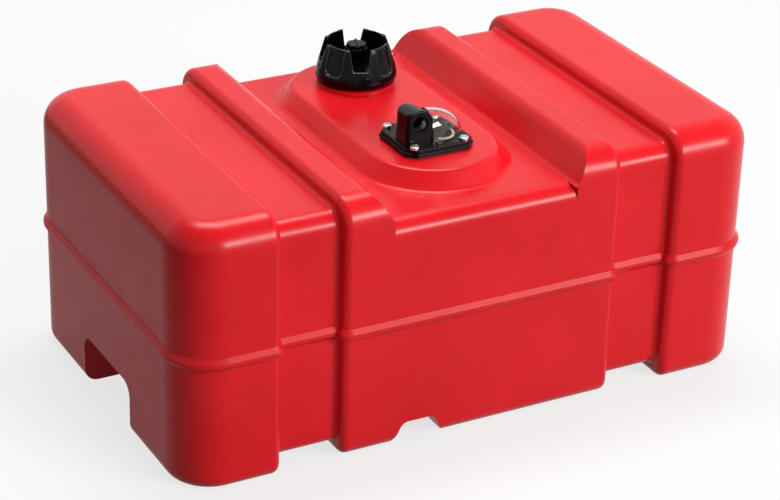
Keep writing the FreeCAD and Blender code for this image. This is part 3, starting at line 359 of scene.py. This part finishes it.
@dataclass(frozen=True)
class Foam(Finish):
    """Closed-cell nitrile foam: black, with small open pores on its skin."""

    pore_mm: float = 0.9
    pore_depth_mm: float = 0.12

    def make(self) -> bpy.types.Material:
        """Build the material."""
        material, tree, shader = self.start()
        pores = add_node(
            tree,
            "ShaderNodeTexVoronoi",
            inputs={"Vector": self.place(tree), "Scale": 1 / (self.pore_mm * MM)},
        )
        self.bump(tree, shader, pores.outputs["Distance"], self.pore_depth_mm, 0.6)
        return material


class Finishes:
    """Every finish of the tank, made once."""

    def __init__(self) -> None:
        """Build the materials."""
        # Blow-moulded polyethylene: a soft waxy sheen that turns pink where it mirrors the sky.
        self.red = BlowMouldedPolyethylene("red_polyethylene", "#D02128", 0.29).make()
        # Moulded nylon: nearly black faces, for only the lamps and the horizon show in them.
        self.black = MouldedNylon("black_nylon", "#060406", 0.22).make()
        # The same nylon on the crown's rounded edges, glossier and a touch lighter than its faces:
        # a painted highlight, so that every rim shows as a thin light line at this picture's size.
        self.edge = MouldedNylon("black_nylon_edge_highlight", "#0C0A0D", 0.2, gloss=0.9).make()
        # Tinted nylon of the gauge's cone: a dull dark shape behind the clear cover.
        self.dark_grey = MouldedNylon("dark_grey_nylon", "#0B0B0E", 0.38).make()
        # Moulded nitrile rubber: a dead matt line between the shinier parts.
        self.rubber = Rubber("nitrile_rubber", "#121214", 0.75).make()
        # Zinc-plated steel: small bright screw heads that mirror the white studio.
        self.zinc = TurnedMetal("zinc_plated_steel", "#D9DADC", 0.22).make()
        # Turned zinc alloy: thread crests that glint inside the port.
        self.port = TurnedMetal("turned_zinc_alloy", "#8C8B90", 0.25).make()
        # Zinc alloy coloured near black as painted shade, so that the port's mouth reads as a deep
        # hole.
        self.shaded_bush = TurnedMetal("zinc_alloy_painted_shade", "#1B1A1D", 0.4).make()
        # Turned brass: warm yellow glints on the vent screw and the inserts.
        self.brass = TurnedMetal("turned_brass", "#C9A34F", 0.28).make()
        # Moulded polycarbonate: clear, with a light rim where its wall is seen along its length.
        self.clear = ClearPlastic("clear_polycarbonate", "#FBF7F6", 0.04).make()
        # Cream acetal: the only warm pale tone, a thin arc round the cone.
        self.cream = PalePlastic("cream_acetal", "#F0E6CC", 0.4).make()
        # Natural acetal: milky white, for the parts that work in the fuel.
        self.white = PalePlastic("white_acetal", "#EFEEE8", 0.4, shade="#DDDAD0").make()
        # Closed-cell foam: dull black with pores drawn about twice their real size, to show.
        self.foam = Foam("nitrile_foam", "#141416", 0.8).make()


def dress(node: bpy.types.Object, material: bpy.types.Material) -> None:
    """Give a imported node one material.

    Args:
        node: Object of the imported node.
        material: Its finish.
    """
    node.data.materials.clear()
    node.data.materials.append(material)


@dataclass
class DressedNodes:
    """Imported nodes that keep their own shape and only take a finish."""

    nodes: dict[str, bpy.types.Object]
    finishes: Finishes

    def build(self) -> None:
        """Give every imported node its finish."""
        made_of = {
            "tank_shell": self.finishes.red,
            "filler_neck": self.finishes.red,
            "cap_crown": self.finishes.black,
            "cap_disc": self.finishes.black,
            "cap_gasket": self.finishes.rubber,
            "vent_knob": self.finishes.black,
            "vent_stem": self.finishes.brass,
            "vent_seal": self.finishes.rubber,
            "vent_nut": self.finishes.brass,
            "head_gasket": self.finishes.rubber,
            "withdrawal_head": self.finishes.black,
            "port_bush": self.finishes.shaded_bush,
            "head_screws": self.finishes.zinc,
            "screw_inserts": self.finishes.brass,
            "sight_lens": self.finishes.clear,
            "gauge_bush": self.finishes.brass,
            "twist_strip": self.finishes.zinc,
            "gauge_cone": self.finishes.dark_grey,
            "gauge_dial": self.finishes.cream,
            "guide_rods": self.finishes.zinc,
            "foot_plate": self.finishes.black,
            "gauge_float": self.finishes.foam,
            "strip_follower": self.finishes.white,
            "pickup_tube": self.finishes.zinc,
            "pickup_strainer": self.finishes.white,
        }
        for name, material in made_of.items():
            dress(self.nodes[name], material)
            LOG.info("dressed %s in %s", name, material.name)


class MadePiece:
    """Shared steps that turn a bmesh into a finished piece of the tank."""

    def add(
        self,
        name: str,
        form: bmesh.types.BMesh,
        material: bpy.types.Material,
        body: Body,
        slot: str,
        smooth: float = 35.0,
    ) -> bpy.types.Object:
        """Make an object of a form, give it a finish and let it ride on a body.

        Args:
            name: The piece's name.
            form: Its shape, in metres, in the model's own frame.
            material: Its finish.
            body: The body that carries it.
            slot: Material slot that it belongs to; not used.
            smooth: Edges flatter than this many degrees are shaded smooth.

        Returns:
            The new object.
        """
        bmesh.ops.recalc_face_normals(form, faces=form.faces)
        limit = math.radians(smooth)
        for face in form.faces:
            face.smooth = True
        for edge in form.edges:
            edge.smooth = len(edge.link_faces) == 2 and edge.calc_face_angle(0.0) < limit
        mesh = bpy.data.meshes.new(name)
        form.to_mesh(mesh)
        form.free()
        mesh.materials.append(material)
        piece = bpy.data.objects.new(name, mesh)
        bpy.context.scene.collection.objects.link(piece)
        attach(piece, body.value)
        LOG.info("%s: %d faces, on %s", name, len(mesh.polygons), body.value)
        return piece

    def thread(
        self,
        place: Vector,
        axis: Vector,
        outward: Vector,
        section: list[tuple[float, float]],
        pitch: float,
        turns: float,
        steps: int,
    ) -> bmesh.types.BMesh:
        """Wind a thread's section round an axis.

        Args:
            place: Point on the axis where the thread starts, in metres.
            axis: Direction that the thread climbs in.
            outward: Direction from the axis to the section.
            section: Points of the section, as (radius, height) in millimetres.
            pitch: Climb per turn, in millimetres.
            turns: Number of turns.
            steps: Steps per turn.

        Returns:
            The closed thread.
        """
        form = bmesh.new()
        corners = [
            form.verts.new(place + outward * radius * MM + axis * height * MM)
            for radius, height in section
        ]
        start = form.faces.new(corners)
        count = round(turns * steps)
        bmesh.ops.spin(
            form,
            geom=[start, *start.edges, *start.verts],
            cent=place,
            axis=axis,
            dvec=axis * (pitch * MM / steps),
            angle=turns * math.tau,
            steps=count,
            use_duplicate=False,
        )
        bmesh.ops.remove_doubles(form, verts=form.verts, dist=1e-6)
        return form


@dataclass
class FillerNeck(MadePiece):
    """Thread that the cap runs on, seen once the cap is off."""

    finishes: Finishes
    radius: float = 31.0
    proud: float = 0.4
    pitch: float = 4.2
    first_turn: float = 2.6
    half_foot: float = 1.3
    half_crest: float = 0.5
    sunk: float = 0.3
    neck_rise: float = 13.0
    turns: float = 1.9
    steps: int = 96

    def build(self) -> None:
        """Wind the neck's thread."""
        low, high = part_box("filler_neck")
        middle = Vector(((low[0] + high[0]) / 2, (low[1] + high[1]) / 2, high[2]))
        start = middle - Vector((0, 0, (self.neck_rise - self.first_turn) * MM))
        section = [
            (self.radius - self.sunk, -self.half_foot),
            (self.radius + self.proud, -self.half_crest),
            (self.radius + self.proud, self.half_crest),
            (self.radius - self.sunk, self.half_foot),
        ]
        form = self.thread(
            start,
            Vector((0, 0, 1)),
            Vector((0, -1, 0)),
            section,
            self.pitch,
            self.turns,
            self.steps,
        )
        self.add("neck_thread", form, self.finishes.red, Body.TANK, "tank_red")


@dataclass
class FuelPort(MadePiece):
    """Thread inside the fuel port's metal bush."""

    finishes: Finishes
    radius: float = 6.85
    deep: float = 0.5
    pitch: float = 1.41
    turns: float = 5.0
    start_depth: float = 1.2
    sunk: float = 0.1
    foot_share: float = 0.95
    half_crest: float = 0.08
    steps: int = 64

    def build(self) -> None:
        """Wind the port's thread."""
        low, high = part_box("port_bush")
        mouth = Vector(((low[0] + high[0]) / 2, low[1], (low[2] + high[2]) / 2))
        start = mouth + Vector((0, self.start_depth * MM, 0))
        half = self.pitch / 2
        section = [
            (self.radius + self.sunk, -half * self.foot_share),
            (self.radius - self.deep, -self.half_crest),
            (self.radius - self.deep, self.half_crest),
            (self.radius + self.sunk, half * self.foot_share),
        ]
        form = self.thread(
            start,
            Vector((0, 1, 0)),
            Vector((0, 0, 1)),
            section,
            self.pitch,
            self.turns,
            self.steps,
        )
        self.add("port_thread", form, self.finishes.port, Body.TANK, "port_metal", smooth=50.0)


@dataclass
class SoftEdged(MadePiece):
    """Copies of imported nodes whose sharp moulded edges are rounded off."""

    nodes: dict[str, bpy.types.Object]
    finishes: Finishes
    crown_round: float = 0.5
    collapse_share: float = 1.2
    flat_degrees: float = 1.0
    sharp_degrees: float = 32

    def build(self) -> None:
        """Round the edges of the cap's crown."""
        self.round_off(
            "cap_crown", self.crown_round, self.finishes.black, Body.CAP, "black_plastic"
        )

    def round_off(
        self, node: str, width: float, material: bpy.types.Material, body: Body, slot: str
    ) -> None:
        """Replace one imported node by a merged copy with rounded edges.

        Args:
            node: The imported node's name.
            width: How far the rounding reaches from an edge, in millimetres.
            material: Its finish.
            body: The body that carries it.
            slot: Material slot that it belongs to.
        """
        form = bmesh.new()
        form.from_mesh(self.nodes[node].data)
        bmesh.ops.remove_doubles(form, verts=form.verts, dist=2e-6)
        bmesh.ops.dissolve_degenerate(
            form, dist=self.collapse_share * width * MM, edges=form.edges
        )
        bmesh.ops.dissolve_limit(
            form,
            angle_limit=math.radians(self.flat_degrees),
            verts=form.verts,
            edges=form.edges,
            delimit={"NORMAL"},
        )
        limit = math.radians(self.sharp_degrees)
        sharp = [
            edge
            for edge in form.edges
            if len(edge.link_faces) == 2 and edge.calc_face_angle(0.0) > limit
        ]
        rounded = bmesh.ops.bevel(
            form,
            geom=sharp,
            offset=width * MM,
            offset_type="OFFSET",
            affect="EDGES",
            segments=2,
            profile=0.5,
            material=-1,
            clamp_overlap=False,
        )
        # The rounded faces take the glossier, lighter edge nylon: a painted highlight along every
        # rim.
        for face in rounded["faces"]:
            face.material_index = 1
        bmesh.ops.triangulate(form, faces=[face for face in form.faces if len(face.verts) > 4])
        piece = self.add(node + "_moulded", form, material, body, slot, smooth=40.0)
        piece.data.materials.append(self.finishes.edge)
        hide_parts(node)


@dataclass
class Camera:
    """The photograph's camera, in millimetres and radians."""

    place: tuple = (-1021.1, -1860.7, 1165.7)
    heading: float = 0.5016
    dip: float = 0.4649
    tilt: float = 0.0301
    focal_px: float = 2493.2
    sensor_mm: float = 36.0

    def build(self) -> None:
        """Make the camera and set it as the scene's."""
        ahead = Vector(
            (
                math.sin(self.heading) * math.cos(self.dip),
                math.cos(self.heading) * math.cos(self.dip),
                -math.sin(self.dip),
            )
        )
        level = Vector((math.cos(self.heading), -math.sin(self.heading), 0))
        upright = level.cross(ahead)
        right = math.cos(self.tilt) * level + math.sin(self.tilt) * upright
        up = -math.sin(self.tilt) * level + math.cos(self.tilt) * upright
        data = bpy.data.cameras.new("photo_camera")
        data.sensor_fit = "HORIZONTAL"
        data.sensor_width = self.sensor_mm
        data.lens = self.focal_px / PHOTO_WIDTH * self.sensor_mm
        data.clip_end = 50
        camera = bpy.data.objects.new("photo_camera", data)
        bpy.context.scene.collection.objects.link(camera)
        turn = Matrix((right, up, -ahead)).transposed().to_4x4()
        camera.matrix_world = Matrix.Translation(Vector(self.place) * MM) @ turn
        bpy.context.scene.camera = camera


@dataclass(frozen=True)
class SkyBand:
    """How bright the surroundings are, in reflections, at one height above the horizon."""

    elevation: float
    level: float


@dataclass(frozen=True)
class Softbox:
    """One soft rectangular lamp, in metres and watts."""

    name: str
    place: tuple
    target: tuple
    size: tuple
    power: float


@dataclass
class Studio:
    """Pale floor, white surroundings and soft lamps."""

    floor_size: float = 12.0
    floor_colour: str = "#787878"
    floor_glow: float = 0.74
    ambient: float = 0.42
    shade_side: float = 0.68
    mirror_shade: float = 0.08
    bands: tuple = (
        SkyBand(-90, 0.9),
        SkyBand(2, 0.9),
        SkyBand(30, 0.9),
        SkyBand(44, 0.7),
        SkyBand(56, 0.2),
        SkyBand(90, 0.15),
    )
    shade_from: float = -0.9
    mirror_shade_from: float = -0.7
    shade_to: float = 0.1
    softboxes: tuple = (
        Softbox("overhead_softbox", (0.25, 0.6, 2.3), (0, 0, 0.2), (1.3, 0.7), 40),
        Softbox("front_fill", (1.6, -3.0, 1.5), (0, 0, 0.15), (1.9, 0.8), 108),
    )

    def build(self) -> None:
        """Make the floor, the world and the lamps."""
        self.floor()
        self.world()
        for softbox in self.softboxes:
            self.lamp(softbox)
        view = bpy.context.scene.view_settings
        view.view_transform = "Standard"

    def floor(self) -> None:
        """Make the floor, near white to the camera and grey to the object."""
        mesh = bpy.data.meshes.new("floor")
        form = bmesh.new()
        bmesh.ops.create_grid(form, x_segments=1, y_segments=1, size=self.floor_size / 2)
        form.to_mesh(mesh)
        form.free()
        floor = bpy.data.objects.new("floor", mesh)
        bpy.context.scene.collection.objects.link(floor)
        material = bpy.data.materials.new("pale_floor")
        material.use_nodes = True
        tree = material.node_tree
        tree.nodes.clear()
        matt = add_node(
            tree, "ShaderNodeBsdfDiffuse", inputs={"Color": linear(self.floor_colour)}
        )
        level = add_node(
            tree,
            "ShaderNodeMath",
            {"operation": "MULTIPLY"},
            {0: self.looked_at(tree, self.shaded_left(tree)), 1: self.floor_glow},
        )
        glow = add_node(tree, "ShaderNodeEmission", inputs={"Strength": level.outputs[0]})
        both = add_node(
            tree, "ShaderNodeAddShader", inputs={0: matt.outputs["BSDF"], 1: glow.outputs[0]}
        )
        add_node(tree, "ShaderNodeOutputMaterial", inputs={"Surface": both.outputs[0]})
        mesh.materials.append(material)

    def world(self) -> None:
        """Light the scene softly, with plain white for the camera and bands for reflections."""
        world = bpy.data.worlds.new("studio")
        bpy.context.scene.world = world
        world.use_nodes = True
        tree = world.node_tree
        tree.nodes.clear()
        place = add_node(tree, "ShaderNodeTexCoord")
        axes = add_node(tree, "ShaderNodeSeparateXYZ", inputs={0: place.outputs["Generated"]})
        height = add_node(
            tree,
            "ShaderNodeMapRange",
            inputs={"Value": axes.outputs["Z"], "From Min": -1.0, "From Max": 1.0},
        )
        ramp = add_node(tree, "ShaderNodeValToRGB", inputs={"Fac": height.outputs["Result"]})
        stops = ramp.color_ramp.elements
        while len(stops) < len(self.bands):
            stops.new(1.0)
        for stop, band in zip(stops, self.bands):
            stop.position = (math.sin(math.radians(band.elevation)) + 1) / 2
            stop.color = (band.level, band.level, band.level, 1)
        side = add_node(
            tree,
            "ShaderNodeMapRange",
            inputs={
                "Value": axes.outputs["X"],
                "From Min": self.shade_from,
                "From Max": self.shade_to,
                "To Min": self.shade_side * self.ambient,
                "To Max": self.ambient,
            },
        )
        strength = add_node(
            tree,
            "ShaderNodeMix",
            {"data_type": "FLOAT"},
            {0: self.looked_at(tree), 2: side.outputs["Result"], 3: ramp.outputs["Color"]},
        )
        sky = add_node(
            tree,
            "ShaderNodeBackground",
            inputs={"Color": (1, 1, 1, 1), "Strength": strength.outputs[0]},
        )
        add_node(tree, "ShaderNodeOutputWorld", inputs={"Surface": sky.outputs[0]})

    def shaded_left(self, tree: bpy.types.NodeTree) -> bpy.types.NodeSocket:
        """Fade the floor's mirror image towards the shaded left side.

        Args:
            tree: Node tree of the floor's material.

        Returns:
            A socket that falls to the mirror shade on the left.
        """
        place = add_node(tree, "ShaderNodeTexCoord")
        axes = add_node(tree, "ShaderNodeSeparateXYZ", inputs={0: place.outputs["Object"]})
        fade = add_node(
            tree,
            "ShaderNodeMapRange",
            inputs={
                "Value": axes.outputs["X"],
                "From Min": self.mirror_shade_from,
                "From Max": self.shade_to,
                "To Min": self.mirror_shade,
            },
        )
        return fade.outputs["Result"]

    def looked_at(
        self, tree: bpy.types.NodeTree, mirror_share: bpy.types.NodeSocket | float = 1.0
    ) -> bpy.types.NodeSocket:
        """Tell the rays that look at the background from those that light by it.

        Args:
            tree: Node tree that takes the nodes.
            mirror_share: How much of the background mirrored rays see.

        Returns:
            A socket that is one for camera and see-through rays.
        """
        path = add_node(tree, "ShaderNodeLightPath")
        mirrored = add_node(
            tree,
            "ShaderNodeMath",
            {"operation": "MULTIPLY"},
            {0: path.outputs["Is Glossy Ray"], 1: mirror_share},
        )
        through = add_node(
            tree,
            "ShaderNodeMath",
            {"operation": "MAXIMUM"},
            {0: path.outputs["Is Camera Ray"], 1: path.outputs["Is Transmission Ray"]},
        )
        seen = add_node(
            tree,
            "ShaderNodeMath",
            {"operation": "MAXIMUM"},
            {0: through.outputs[0], 1: mirrored.outputs[0]},
        )
        return seen.outputs[0]

    def lamp(self, softbox: Softbox) -> None:
        """Add one rectangular lamp.

        Args:
            softbox: Its name, place, target, size and power.
        """
        data = bpy.data.lights.new(softbox.name, "AREA")
        data.shape = "RECTANGLE"
        data.size, data.size_y = softbox.size
        data.energy = softbox.power
        lamp = bpy.data.objects.new(softbox.name, data)
        bpy.context.scene.collection.objects.link(lamp)
        lamp.location = softbox.place
        aim = Vector(softbox.target) - Vector(softbox.place)
        lamp.rotation_euler = aim.to_track_quat("-Z", "Y").to_euler()


def main() -> None:
    """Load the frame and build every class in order."""
    logging.basicConfig(level=logging.INFO, format="%(name)s: %(message)s")
    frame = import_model()
    Camera().build()
    Studio().build()
    finishes = Finishes()
    DressedNodes(frame["nodes"], finishes).build()
    FillerNeck(finishes).build()
    FuelPort(finishes).build()
    SoftEdged(frame["nodes"], finishes).build()


if __name__ == "__main__":
    main()
